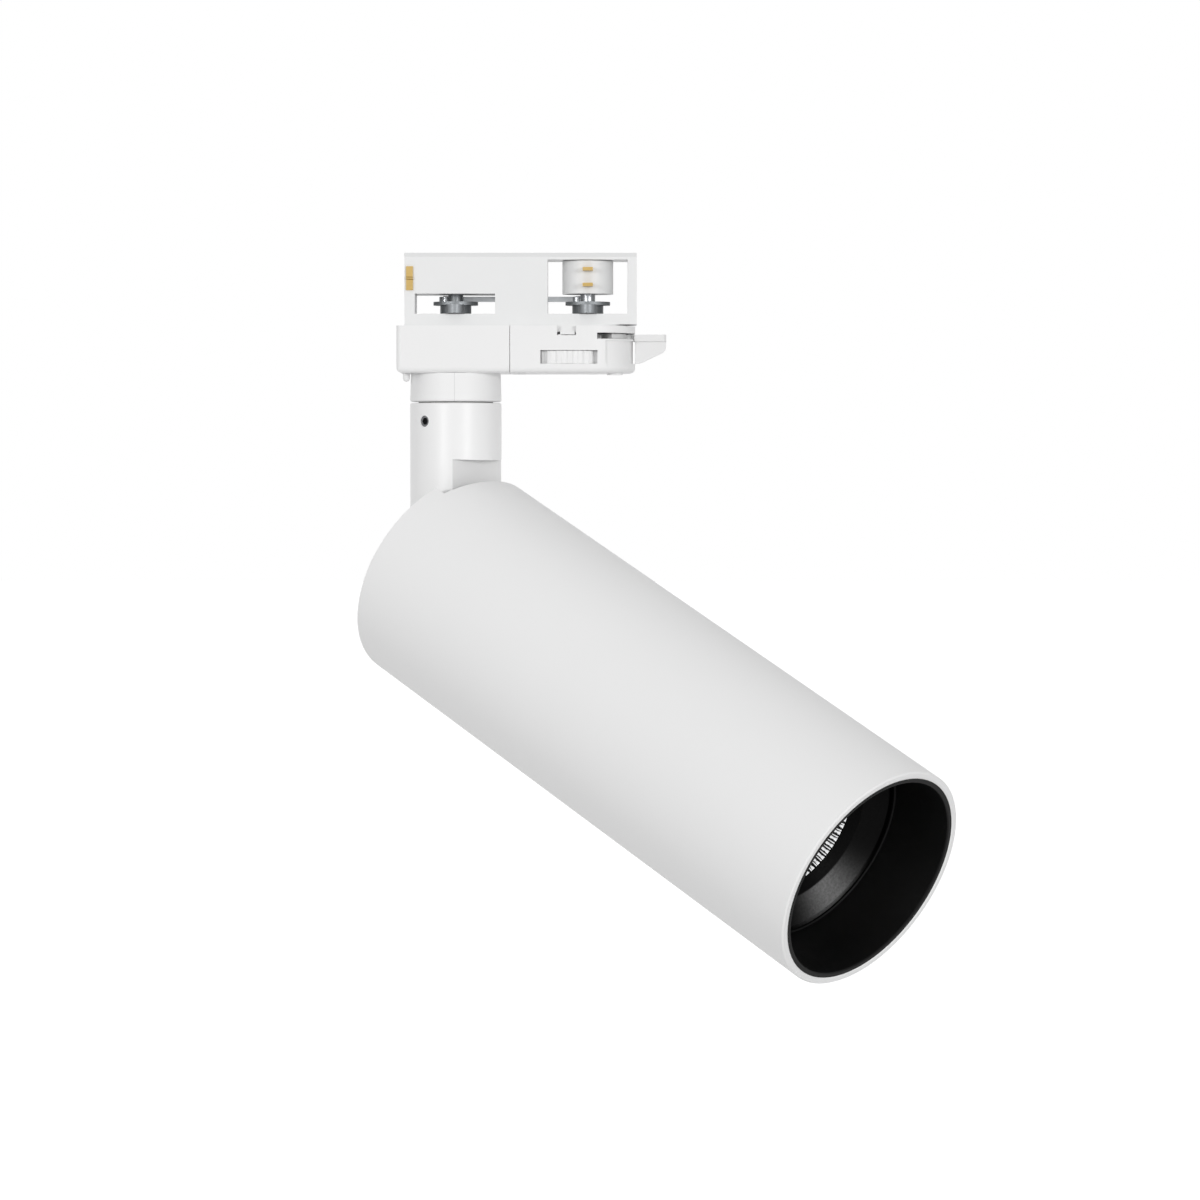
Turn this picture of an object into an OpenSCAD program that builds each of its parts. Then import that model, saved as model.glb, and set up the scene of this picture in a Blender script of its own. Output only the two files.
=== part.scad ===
// Track spotlight: a plug-in adapter locks into a lighting track and carries a panning stem,
// and the stem carries a tilting lamp tube. All sizes are in millimetres.
// The origin is on the swivel axis, in the plane of the track's underside. +Z is up, and +X runs
// along the track towards the lever. The lamp is drawn turned and dipped by the two Aim angles.

/* [Aim] */
// Turn of the lamp away from the track's direction, in degrees
aim_turn = 41.5; // [0:0.5:80]
// Dip of the lamp below level, in degrees
aim_dip = 26.8; // [20:0.1:85]

/* [Adapter covers] */
// Length of the adapter along the track
adapter_l = 70; // [69:0.5:76]
// Width of the adapter across the track
adapter_w = 28; // [27:0.5:31]
// Height of the covers
adapter_h = 13.8; // [13.4:0.1:17]
// Gap between the track's underside and the covers
seat_gap = 0.5; // [0.3:0.1:0.8]
// Thickness of the covers' side walls
cover_wall = 2; // [1.6:0.1:2.2]
// Thickness of the covers' floors
cover_floor = 2.2; // [1.8:0.1:2.4]
// Rounding of the covers' lower edges
cover_edge_r = 1.6; // [0.8:0.1:2]
// Rounding of the plain end's upright edges
cover_corner_r = 1.5; // [0.8:0.1:2.5]
// Distance from the plain end to the swivel axis
swivel_inset = 17; // [16:0.5:18]
// Length of the swivel cover, up to the seam
swivel_cover_l = 33.2; // [32:0.1:34]
// Open seam between the two covers
seam_gap = 0.15; // [0.1:0.05:0.3]
// Diameter of the peg under the swivel cover
peg_d = 2.1; // [1.6:0.1:3]
// Drop of the peg below the swivel cover
peg_drop = 2.5; // [1.5:0.1:4]
// Diameter of the pad under the housing's round end
pad_d = 4.7; // [3:0.1:6]

/* [Phase selector] */
// Distance from the lever's axis back to the selector wheel's axis
selector_offset = 5.5; // [4.5:0.1:6.5]
// Height of the selector wheel
wheel_h = 4.2; // [3.6:0.1:4.3]
// Depth of the wheel's rim below the cover's face
wheel_recess = 0.1; // [0.05:0.05:0.5]
// Number of finger flutes round the wheel
wheel_flutes = 28; // [16:1:36]
// Diameter of the wheel's spindle
spindle_d = 6; // [5:0.1:7]
// Length of the wheel's window
window_l = 16.7; // [14:0.1:18]
// Width of the snap notch in the housing's upper edge
notch_w = 5.5; // [4:0.1:7]
// Depth of the snap notch
notch_h = 2.8; // [2.4:0.1:3.2]

/* [Lock lever] */
// Swing of the lever from locked to open, in degrees
lever_swing = 66; // [50:1:68]
// Reach of the lever from its axis to its tip
lever_reach = 23.15; // [21:0.05:28]
// Width of the lever's arm in its slot
lever_arm_w = 4; // [3:0.1:4.4]
// Width of the finger plate outside the housing
lever_plate_w = 8; // [6:0.1:10]
// Thickness of the finger plate
lever_plate_t = 2; // [1.8:0.1:3]
// Thickness of the lever's hub
lever_hub_t = 1.5; // [1.2:0.1:1.8]
// Width of the fin under the finger plate
fin_w = 6; // [4:0.1:7]
// Drop of the fin from the plate's top
fin_drop = 8.4; // [6:0.1:8.8]
// Diameter of the two lock shafts
lock_shaft_d = 4.4; // [4:0.1:4.8]
// Reach of the lock wings from their shaft
wing_reach = 11.5; // [10.5:0.1:12]
// Thickness of the lock wings
wing_t = 2.5; // [2:0.1:3]
// Throw of the cranks that the link rod joins
crank_throw = 5; // [4.9:0.1:5.2]

/* [Track insert] */
// Width of the block that enters the track
insert_w = 17.2; // [16.4:0.1:18]
// Height of the block above the track's underside
insert_h = 21; // [20:0.1:23]
// Thickness of the track's lips, which the wings close over
lip_t = 3; // [2.6:0.1:3.4]
// Thickness of the insert's flange
flange_t = 2.4; // [2:0.1:2.6]

/* [Swivel] */
// Height of the collar
collar_h = 8.35; // [6:0.05:12]
// Draft of the collar: how much smaller its top radius is than the stem's
collar_draft = 0.25; // [0:0.05:0.6]
// Open gap between the collar and the stem
pan_gap = 0.4; // [0.3:0.05:0.8]
// Diameter of the spigot that the stem turns on
spigot_d = 18; // [17:0.5:19]
// Length of the spigot inside the stem
spigot_l = 10; // [9:0.1:13]
// Diameter of the spigot's threaded neck
neck_d = 13; // [12:0.5:14]
// Diameter of the wire passage
wire_bore_d = 8; // [7:0.5:9]

/* [Stem] */
// Diameter of the stem
stem_d = 27; // [26.5:0.1:28]
// Distance from the stem's top to the ledge
ledge_drop = 16.55; // [15:0.05:22]
// Distance from the ledge to the tilt axis
pivot_drop = 36.35; // [35.5:0.05:42]
// Depth of the flat that clears the tube
flat_depth = 5; // [4.8:0.1:6]
// Fall of the ledge from the flat to the stem's edge
ledge_fall = 0.3; // [0:0.1:1]
// Diameter of the grub screw
grub_d = 3.3; // [3:0.1:3.6]
// Distance from the stem's top to the grub screw
grub_drop = 5.4; // [5:0.1:6]

/* [Tilt joint] */
// Diameter of the tilt screws' bearing shoulder
pivot_d = 5; // [4:0.1:5.6]
// Thickness of the bracket's ears
ear_t = 3.1; // [2.4:0.1:3.3]
// Height of the bracket's ears
ear_h = 16; // [13:0.5:20]
// Thickness of the friction washers
washer_t = 1; // [0.8:0.1:1.1]

/* [Lamp tube] */
// Outer diameter of the tube
tube_d = 67; // [65:0.5:70]
// Length of the tube
tube_l = 180.5; // [176:0.5:220]
// Wall of the tube
tube_wall = 2; // [1.6:0.1:2.6]
// Distance from the tube's rear end to the tilt axis
pivot_inset = 5.7; // [5.5:0.1:6.5]
// Width of the stem slot at the tube's rear
slot_w = 34.6; // [34.2:0.1:36]
// Depth of the stem slot along the tube
slot_depth = 5.6; // [5.2:0.1:8]
// Bow of the slot's end
slot_bow = 1.6; // [0.5:0.1:3]
// Thickness of the rear cap
cap_t = 2; // [1.8:0.1:2.2]

/* [Optics] */
// Depth of the snoot's rim inside the tube's mouth
snoot_recess = 0.2; // [0.1:0.05:1]
// Length of the snoot
snoot_l = 20.5; // [14:0.5:30]
// Width of the snoot's front rim
snoot_rim = 1.4; // [0.8:0.1:1.8]
// Inward taper of the snoot, front to back
snoot_taper = 0.7; // [0.4:0.1:1.5]
// Length of the cone ring
cone_l = 6.8; // [6:0.1:9]
// Outer diameter of the cone
cone_front_d = 55.2; // [52:0.2:56]
// Diameter where the cone steepens
cone_back_d = 42.8; // [41:0.2:46]
// Diameter of the light opening
aperture_d = 38.4; // [34:0.2:40]
// Depth of the reflector
reflector_l = 24; // [18:0.5:30]
// Diameter of the reflector's small end
reflector_back_d = 16.4; // [15:0.2:20]
// Wall of the reflector
reflector_wall = 1.2; // [0.8:0.1:2]

/* [Lamp internals] */
// Side of the square light-emitting board
board_w = 24; // [20:0.5:25]
// Diameter of the glowing disc on the board
emitter_d = 14; // [10:0.5:15]
// Thickness of the board's holder
holder_t = 3; // [2.6:0.1:4]
// Length of the heat sink
heat_sink_l = 28; // [20:0.5:32]
// Thickness of the heat sink's base
sink_base_t = 8; // [5:0.5:12]
// Number of heat sink fins
sink_fins = 9; // [5:2:11]
// Thickness of each fin
sink_fin_t = 2; // [1.4:0.1:2.4]
// Length of the driver's case
driver_l = 40; // [36:1:44]
// Width of the driver's case
driver_w = 38; // [30:1:40]
// Height of the driver's case
driver_h = 24; // [18:1:25]
// Diameter of the insulated leads
lead_d = 1.6; // [1.2:0.1:1.8]

/* [Hidden] */
$fn = 72;

// Clearances
tight = 0.02;
running = 0.05;
side_gap = 0.15;
free_gap = 0.3;
past = 1;

// Colours
WHITE = "whitesmoke";
BLACK = "#1c1c1c";
STEEL = "silver";
BRASS = "#c9a35a";
GREY = "#8a8c8e";

// Adapter levels and stations
half_w = adapter_w / 2;
inner_half_w = half_w - cover_wall;
adapter_x0 = -swivel_inset;
adapter_x1 = adapter_x0 + adapter_l;
lever_x = adapter_x1 - half_w;
seam_x = adapter_x0 + swivel_cover_l;
selector_x = lever_x - selector_offset;
cover_top = -seat_gap;
cover_bottom = cover_top - adapter_h;
floor_top = cover_bottom + cover_floor;
flange_half_w = inner_half_w - side_gap;
flange_low = -flange_t;

// Lever levels, counted down from the flange
hub_top = flange_low - free_gap;
hub_low = hub_top - lever_hub_t;
hub_r = flange_half_w - free_gap;
slot_top = hub_top + side_gap;
slot_low = hub_low - side_gap;
slot_x = lever_x + inner_half_w * cos(lever_swing) - lever_arm_w / 2 * sin(lever_swing) - free_gap;
plate_top = hub_top - 0.2;
lever_screw_h = 1.3;
lever_gap = 0.3;
lever_boss_r = lock_shaft_d / 2 + 4.3;
lever_sector = 52.5;

// Selector levels, counted down from the lever's screw
phase_plate_t = 0.8;
wiper_t = 0.7;
phase_plate_top = hub_low - lever_screw_h - free_gap;
phase_plate_low = phase_plate_top - phase_plate_t;
wheel_top = phase_plate_low - 0.1 - wiper_t;
wheel_low = wheel_top - wheel_h;
wheel_r = half_w - wheel_recess;
spindle_r = spindle_d / 2;
window_gap_low = 0.06;
window_gap_top = 0.15;
rim_step = 0.45;
rim_w = 3;
flute_r = 1.3;
flute_out = 0.9;

// Insert levels, counted up from the track's underside
lock_shaft_r = lock_shaft_d / 2;
plate_clear = lip_t + 0.1;
wing_low = plate_clear + 0.2;
wing_top = wing_low + wing_t;
crank_t = 1;
crank_top = wing_top + crank_t;
link_t = 1.5;
link_low = crank_top + 0.2;
link_top = link_low + link_t;
pin_top = link_top + 0.2;
bay_top = pin_top + free_gap;
roof_t = 2;
roof_low = insert_h - roof_t;
rotor_low = bay_top + 0.1;
rotor_top = roof_low - 0.2;
rotor_r = 7.5;
bay_half = wing_reach + free_gap;
insert_x0 = adapter_x0 + cover_wall;
insert_end_t = 2.6;
insert_x1 = lever_x + bay_half + insert_end_t;
insert_chamfer = 1.2;
wing_half = 2.6;
crank_angle = 125;
crank_pin_r = 1;
link_end_r = 2.2;
link_half = 1.5;
crank_r = crank_throw + crank_pin_r + 0.6;
crank_x = crank_throw * cos(crank_angle);
crank_y = crank_throw * sin(crank_angle);

// Terminal pocket in the insert, between the two lock bays
pocket_x0 = bay_half + 1.6;
pocket_x1 = lever_x - bay_half - 1.6;
pocket_half = insert_w / 2 - 2;
pocket_low = bay_top + 1.4;
lid_t = 1.6;
duct = [pocket_x0 + 3.4, -3.2];
duct_r = 3;

// Contact fingers: side of the rotor and height above the track's underside
finger_w = 3;
finger_t = 1;
finger_reach = wing_reach - 0.2;
finger_root = lock_shaft_r + 1.3;
finger_z0 = rotor_low + 2.5;
finger_z1 = rotor_top - 2.6;
PHASES = [[1, finger_z0], [1, finger_z1], [-1, finger_z1]];
NEUTRAL = [[-1, finger_z0]];

// Cover screws
boss_r = 2.3;
boss_y = half_w - 4.8;
cover_bosses = [adapter_x0 + 4.6];
housing_bosses = [seam_x + 2.7];
screw_head_r = 2;
screw_head_h = 1.1;
screw_r = 1.2;
screw_sink = 1.5;
screw_top = flange_low + 1.6;

// Swivel levels
spigot_r = spigot_d / 2;
neck_r = neck_d / 2;
wire_bore_r = wire_bore_d / 2;
collar_low = cover_bottom - collar_h;
stem_top = collar_low - pan_gap;
spigot_low = stem_top - spigot_l;
grub_z = stem_top - grub_drop;
nut_washer_t = 0.6;
nut_h = 4.2;
nut_across = neck_d + 4;
nut_low = floor_top + nut_washer_t;
neck_top = nut_low + nut_h + 0.7;
groove_r = spigot_r - 1.6;
groove_half = grub_d / 2 + 0.3;
stop_w = 1.2;
grub_r = grub_d / 2;
socket_across = 2;

// Stem levels
stem_r = stem_d / 2;
ledge_z = stem_top - ledge_drop;
pivot_z = ledge_z - pivot_drop;
flat_x = stem_r - flat_depth;
cheek_y = stem_r - 1.1;
cheek_rise = 14;
stem_bore_r = wire_bore_r + 0.5;
pan_washer_w = 1.7;
pan_washer_r = spigot_r + free_gap + pan_washer_w;
stem_chamfer = 0.3;

// Tilt joint stations, across the lamp
pivot_r = pivot_d / 2;
ear_in = cheek_y + washer_t + running;
ear_out = ear_in + ear_t;
ear_back = -pivot_inset + 0.8;
bracket_s = stem_r + 1.5;
bracket_t = 3;
bracket_half_h = ear_h / 2 + 5;
tilt_head_r = pivot_r * 1.68;
tilt_washer_r = pivot_r * 2.5;
tilt_head_h = 2.2;
tilt_thread_r = pivot_r - 0.5;
tilt_thread_in = stem_bore_r + 0.7;

// Lamp stations, counted along its axis from the tilt axis
tube_r = tube_d / 2;
bore_r = tube_r - tube_wall;
seat_r = bore_r - running;
tube_rear = -pivot_inset;
tube_front = tube_rear + tube_l;
slot_end = tube_rear + slot_depth;
slot_r = (pow(slot_w / 2, 2) + pow(slot_bow, 2)) / (2 * slot_bow);
cap_low = tube_rear + 0.2;
cap_skirt_l = 9;
cap_skirt_t = 2;
cap_slot_low = -(stem_r + 0.7);
chassis_s = bracket_s + bracket_t;
chassis_t = 2.5;
tray_s = chassis_s + chassis_t;
snoot_front = tube_front - snoot_recess;
snoot_rear = snoot_front - snoot_l;
cone_rear = snoot_rear - cone_l;
reflector_rear = cone_rear - reflector_l;
sink_front = reflector_rear - holder_t;
sink_rear = sink_front - heat_sink_l;
sink_fin_pitch = (2 * seat_r - sink_fin_t) / sink_fins;
tray_low = -16;
tray_t = 1.5;
tray_top = tray_low + tray_t;
tray_half_w = driver_w / 2 + 1;
driver_s0 = tray_s + 6;
driver_s1 = driver_s0 + driver_l;
driver_top = tray_top + driver_h;
term_l = 8;
term_w = 14;
term_top = driver_top + driver_h * 0.4;
led_lead_n = (driver_top + 4 * term_top) / 5;
lead_r = lead_d / 2;
led_duct_r = 3.6;
board_t = 1.6;
emitter_t = 0.7;
holder_rim = 5.2;
holder_r = board_w / sqrt(2) + holder_rim;
holder_screw_y = holder_r - 4;
holder_grip = sink_base_t / 2;
aperture_r = aperture_d / 2;
cone_front_r = cone_front_d / 2;
cone_back_r = cone_back_d / 2;
cone_back_s = snoot_rear - cone_l * 0.59;
snoot_mouth_r = seat_r - snoot_rim;
snoot_base_r = snoot_mouth_r - snoot_taper;
reflector_front_r = aperture_r - 0.2;
reflector_back_r = reflector_back_d / 2;
reflector_rim_t = 1.4;
reflector_steps = 10;

// Three leads lie round every wire passage, against its wall
LEAD_TURNS = [90, 210, 330];
bore_spot_r = wire_bore_r - lead_r - side_gap;
duct_spot_r = duct_r - lead_r - free_gap;
LEAD_SPOTS = [for (turn = LEAD_TURNS) bore_spot_r * [cos(turn), sin(turn)]];
DUCT_SPOTS = [for (turn = LEAD_TURNS) duct + duct_spot_r * [cos(turn), sin(turn)]];
LEAD_LEVELS = [flange_low - 1.2, flange_low - 1.2, flange_low - 3];

// Places the children on the turned stem, with +X under the lamp's aim
module on_stem() {
    rotate([0, 0, -aim_turn])
        children();
}

// Places the children on the lamp, with +X along its aim and the tilt axis at the origin
module on_lamp() {
    on_stem()
        translate([0, 0, pivot_z])
            rotate([0, aim_dip, 0])
                children();
}

// A solid of revolution about +X from points of radius and station
module revolve(points) {
    rotate([0, 90, 0])
        rotate_extrude()
            polygon(points);
}

// A plain disc about +X between two stations
module disc(r, start, end) {
    revolve([[0, start], [r, start], [r, end], [0, end]]);
}

// An upright flat bar between two corners
module box(low, high) {
    translate(low)
        cube(high - low);
}

// A profile of Y and Z carried along X
module along_x(x0, x1) {
    translate([x0, 0, 0])
        rotate([90, 0, 90])
            linear_extrude(height = x1 - x0)
                children();
}

// A profile of X and Z carried along Y
module along_y(y0, y1) {
    translate([0, y1, 0])
        rotate([90, 0, 0])
            linear_extrude(height = y1 - y0)
                children();
}

// A screw with its seat at the origin, its shank along +Z and a hex socket in its head
module screw(head_r, head_h, shank_r, shank_l) {
    difference() {
        union() {
            translate([0, 0, -head_h])
                cylinder(r = head_r, h = head_h);
            cylinder(r = shank_r, h = shank_l);
        }
        translate([0, 0, -head_h - past])
            cylinder(r = head_r / 2, h = head_h * 0.6 + past, $fn = 6);
    }
}

// An insulated lead along straight runs with rounded bends
module lead(points) {
    for (k = [0:len(points) - 2])
        lead_run(points[k], points[k + 1]);
    for (k = [1:len(points) - 2])
        translate(points[k])
            sphere(r = lead_r + running, $fn = 24);
}

// One straight run of a lead
module lead_run(start, end) {
    run = end - start;
    length = norm(run);
    translate(start)
        rotate([0, acos(run[2] / length), atan2(run[1], run[0])])
            cylinder(r = lead_r, h = length, $fn = 24);
}

// The covers' outline across the track, with rounded lower edges
module cover_profile() {
    translate([-half_w, cover_bottom + cover_edge_r])
        square([adapter_w, adapter_h - cover_edge_r]);
    translate([-half_w + cover_edge_r, cover_bottom])
        square([adapter_w - 2 * cover_edge_r, adapter_h]);
    for (side = [-1, 1])
        translate([side * (half_w - cover_edge_r), cover_bottom + cover_edge_r])
            circle(r = cover_edge_r);
}

// Hollow posts that take the cover screws
module bosses(stations) {
    for (x = stations, side = [-1, 1])
        translate([x, side * boss_y, floor_top])
            cylinder(r = boss_r, h = flange_low - floor_top);
}

// Holes for the cover screws, with their head recesses
module boss_holes(stations) {
    for (x = stations, side = [-1, 1])
        translate([x, side * boss_y, 0]) {
            translate([0, 0, cover_bottom - past])
                cylinder(r = screw_head_r + side_gap, h = screw_sink + past);
            translate([0, 0, cover_bottom])
                cylinder(r = screw_r + tight, h = -cover_bottom);
        }
}

// Rounds the plain end's two upright edges and its lower edge
module plain_end(length) {
    r = cover_corner_r;
    intersection() {
        translate([adapter_x0, 0, cover_bottom - past])
            linear_extrude(height = adapter_h + 2 * past) {
                translate([r, -half_w])
                    square([length - r, adapter_w]);
                translate([0, -half_w + r])
                    square([length, adapter_w - 2 * r]);
                for (side = [-1, 1])
                    translate([r, side * (half_w - r)])
                        circle(r = r);
            }
        along_y(-half_w - past, half_w + past) {
            translate([adapter_x0 + r, cover_bottom])
                square([length - r, adapter_h]);
            translate([adapter_x0, cover_bottom + r])
                square([length, adapter_h - r]);
            translate([adapter_x0 + r, cover_bottom + r])
                circle(r = r);
        }
    }
}

module swivel_cover() {
    length = swivel_cover_l - seam_gap / 2;
    color(WHITE)
        difference() {
            union() {
                difference() {
                    intersection() {
                        along_x(adapter_x0, adapter_x0 + length)
                            cover_profile();
                        plain_end(length);
                    }
                    box([adapter_x0 + cover_wall, -inner_half_w, floor_top],
                        [seam_x + past, inner_half_w, past]);
                }
                bosses(cover_bosses);
                translate([adapter_x0 + 2.6, -5, cover_bottom - peg_drop + peg_d / 2]) {
                    cylinder(d = peg_d, h = peg_drop - peg_d / 2);
                    sphere(d = peg_d);
                }
            }
            translate([0, 0, cover_bottom - past])
                cylinder(r = neck_r + running, h = cover_floor + 2 * past);
            boss_holes(cover_bosses);
        }
}

// The housing's outer body: a straight run with a round end about the lever's axis
module housing_body() {
    along_x(seam_x + seam_gap / 2, lever_x)
        cover_profile();
    translate([lever_x, 0, 0])
        rotate_extrude()
            intersection() {
                cover_profile();
                translate([0, cover_bottom])
                    square([half_w, adapter_h]);
            }
}

// The shallow track that the lever's fin sweeps round the housing's end
module fin_track() {
    track_x = 5.2;
    track_depth = 0.7;
    track_low = plate_top - fin_drop - 0.2;
    intersection() {
        difference() {
            translate([lever_x, 0, track_low])
                cylinder(r = half_w + past, h = slot_low - 0.5 - track_low);
            translate([lever_x, 0, track_low - past])
                cylinder(r = half_w - track_depth, h = adapter_h + 2 * past);
        }
        box([lever_x + track_x, -half_w, track_low], [adapter_x1 + past, half_w, 0]);
    }
}

module adapter_housing() {
    pin_r = 1.2;
    color(WHITE)
        difference() {
            union() {
                difference() {
                    housing_body();
                    box([seam_x - past, -inner_half_w, floor_top], [lever_x, inner_half_w, past]);
                    translate([lever_x, 0, floor_top])
                        cylinder(r = inner_half_w, h = adapter_h);
                    box([selector_x - window_l / 2, -half_w - past, wheel_low - window_gap_low],
                        [selector_x + window_l / 2, half_w + past, wheel_top - rim_step + window_gap_top]);
                    box([selector_x - 0.7 - notch_w / 2, -half_w - past, cover_top - notch_h],
                        [selector_x - 0.7 + notch_w / 2, half_w + past, past]);
                    box([slot_x, -half_w - past, slot_low],
                        [adapter_x1 + past, lever_arm_w / 2 + free_gap, slot_top]);
                    fin_track();
                }
                bosses(housing_bosses);
                translate([selector_x, 0, floor_top]) {
                    cylinder(r = spindle_r, h = phase_plate_low - floor_top);
                    cylinder(r = spindle_r + 1.6, h = wheel_low - running - floor_top);
                    cylinder(r = pin_r, h = phase_plate_top - floor_top);
                }
                translate([lever_x + 8, -6, cover_bottom - 0.55])
                    cylinder(d = pad_d, h = 0.55);
            }
            boss_holes(housing_bosses);
        }
}

// The flange's outline, which fills the covers' open top
module flange_outline() {
    x0 = adapter_x0 + cover_wall + side_gap;
    translate([x0, -flange_half_w])
        square([lever_x - x0, 2 * flange_half_w]);
    translate([lever_x, 0])
        circle(r = flange_half_w);
}

// The block's outline across the track from a base level, with chamfered upper edges
module insert_profile(base) {
    half = insert_w / 2;
    polygon([[-half, base], [half, base], [half, insert_h - insert_chamfer],
        [half - insert_chamfer, insert_h], [-half + insert_chamfer, insert_h],
        [-half, insert_h - insert_chamfer]]);
}

// Snap tabs that reach out from the flange and hook down in the housing's notches
module snap_tabs() {
    tab_w = notch_w - 1.2;
    tab_in = inner_half_w + side_gap;
    tab_out = half_w - cover_wall / 2;
    tab_x = selector_x - 0.4;
    tab_top = flange_low + 0.5;
    for (side = [-1, 1]) {
        box([tab_x - tab_w / 2, side > 0 ? flange_half_w - past : -tab_out, flange_low],
            [tab_x + tab_w / 2, side > 0 ? tab_out : past - flange_half_w, tab_top]);
        box([tab_x - tab_w / 2, side > 0 ? tab_in : -tab_out, flange_low - 0.7],
            [tab_x + tab_w / 2, side > 0 ? tab_out : -tab_in, tab_top]);
    }
}

module track_insert() {
    half = insert_w / 2;
    color(WHITE)
        difference() {
            union() {
                translate([0, 0, flange_low])
                    linear_extrude(height = flange_t)
                        flange_outline();
                along_x(insert_x0 + side_gap, lever_x)
                    insert_profile(flange_low);
                along_x(lever_x, insert_x1)
                    insert_profile(0);
                snap_tabs();
            }
            box([lever_x - bay_half, -half - past, plate_clear],
                [lever_x + bay_half, half + past, roof_low]);
            box([-bay_half, -half - past, plate_clear], [bay_half, half + past, bay_top]);
            box([bay_half - past, crank_y - link_half - 0.4, link_low - 0.4],
                [lever_x - bay_half + past, crank_throw + link_half + 0.5, bay_top]);
            box([pocket_x0, -pocket_half, pocket_low], [pocket_x1, pocket_half, insert_h]);
            box([pocket_x0 - 0.8, -pocket_half - 0.8, insert_h - lid_t],
                [pocket_x1 + 0.8, pocket_half + 0.8, insert_h + past]);
            translate([duct[0], duct[1], flange_low - past])
                cylinder(r = duct_r, h = pocket_low - flange_low + 2 * past);
            translate([lever_x, 0, flange_low - past])
                cylinder(r = lock_shaft_r + running, h = insert_h + flange_t + 2 * past);
            translate([0, 0, flange_low - past])
                cylinder(r = lock_shaft_r + running, h = bay_top + flange_t + past + 4.3);
            for (x = concat(cover_bosses, housing_bosses), side = [-1, 1])
                translate([x, side * boss_y, flange_low - past])
                    cylinder(r = screw_r + tight, h = screw_top + 0.2 - flange_low + past);
        }
}

module insert_lid() {
    color(WHITE)
        box([pocket_x0 - 0.8 + running, -pocket_half - 0.8 + running, insert_h - lid_t],
            [pocket_x1 + 0.8 - running, pocket_half + 0.8 - running, insert_h]);
}

module earth_contacts() {
    strip_w = 2;
    strip_h = 7;
    strip_t = 0.5;
    strip_x = insert_x0 + 0.7;
    strip_z = roof_low - 9;
    color(BRASS)
        for (side = [-1, 1]) {
            box([strip_x, side > 0 ? insert_w / 2 : -insert_w / 2 - strip_t, strip_z],
                [strip_x + strip_w, side > 0 ? insert_w / 2 + strip_t : -insert_w / 2, strip_z + strip_h]);
            translate([strip_x, side * (insert_w / 2 + strip_t), strip_z + strip_h / 2])
                rotate([0, 90, 0])
                    cylinder(r = strip_t * 0.9, h = strip_w, $fn = 24);
        }
}

module terminal_block() {
    block_h = 6.5;
    hole_r = 0.9;
    color(GREY)
        difference() {
            box([pocket_x0 + running, -pocket_half + running, pocket_low],
                [pocket_x1 - running, 0.3, pocket_low + block_h]);
            for (k = [0:2])
                translate([pocket_x0 + 2.4 + 3.2 * k, -pocket_half / 2, pocket_low + block_h - 2.5])
                    cylinder(r = hole_r, h = 2.5 + past, $fn = 24);
        }
}

module adapter_leads() {
    color("firebrick")
        for (k = [0:2])
            lead([[LEAD_SPOTS[k][0], LEAD_SPOTS[k][1], spigot_low + 0.5],
                [LEAD_SPOTS[k][0], LEAD_SPOTS[k][1], LEAD_LEVELS[k]],
                [DUCT_SPOTS[k][0], DUCT_SPOTS[k][1], LEAD_LEVELS[k]],
                [DUCT_SPOTS[k][0], DUCT_SPOTS[k][1], pocket_low]]);
}

module phase_plate() {
    color("seagreen")
        difference() {
            translate([selector_x, 0, phase_plate_low])
                cylinder(r = inner_half_w - 1.5, h = phase_plate_t);
            translate([selector_x, 0, phase_plate_low - past])
                cylinder(r = 1.2 + tight, h = phase_plate_t + 2 * past);
        }
}

module cover_screws() {
    seat = cover_bottom + screw_sink;
    color(STEEL)
        for (x = concat(cover_bosses, housing_bosses), side = [-1, 1])
            translate([x, side * boss_y, seat])
                screw(screw_head_r, screw_head_h, screw_r, screw_top - seat);
}

module swivel_spigot() {
    color(STEEL)
        difference() {
            union() {
                difference() {
                    translate([0, 0, spigot_low])
                        cylinder(r = spigot_r, h = collar_low - spigot_low);
                    difference() {
                        translate([0, 0, grub_z - groove_half])
                            cylinder(r = spigot_r + past, h = 2 * groove_half);
                        translate([0, 0, grub_z - groove_half - past])
                            cylinder(r = groove_r, h = 2 * groove_half + 2 * past);
                        translate([-stop_w / 2, 0, grub_z - groove_half - past])
                            cube([stop_w, spigot_r - 0.1, 2 * groove_half + 2 * past]);
                    }
                }
                translate([0, 0, collar_low])
                    cylinder(r = neck_r, h = neck_top - collar_low);
            }
            translate([0, 0, spigot_low - past])
                cylinder(r = wire_bore_r, h = neck_top - spigot_low + 2 * past);
        }
}

module spigot_nut() {
    color(STEEL)
        difference() {
            translate([0, 0, nut_low])
                cylinder(r = nut_across / sqrt(3), h = nut_h, $fn = 6);
            translate([0, 0, nut_low - past])
                cylinder(r = neck_r + tight, h = nut_h + 2 * past);
        }
}

module spigot_washer() {
    color(STEEL)
        difference() {
            translate([0, 0, floor_top])
                cylinder(r = nut_across / sqrt(3) + 0.4, h = nut_washer_t);
            translate([0, 0, floor_top - past])
                cylinder(r = neck_r + tight, h = nut_washer_t + 2 * past);
        }
}

module swivel_collar() {
    edge = 0.4;
    top_r = stem_r - collar_draft;
    color(WHITE)
        rotate_extrude()
            polygon([[neck_r + running, collar_low], [stem_r - edge, collar_low],
                [stem_r, collar_low + edge], [top_r, cover_bottom], [neck_r + running, cover_bottom]]);
}

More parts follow.
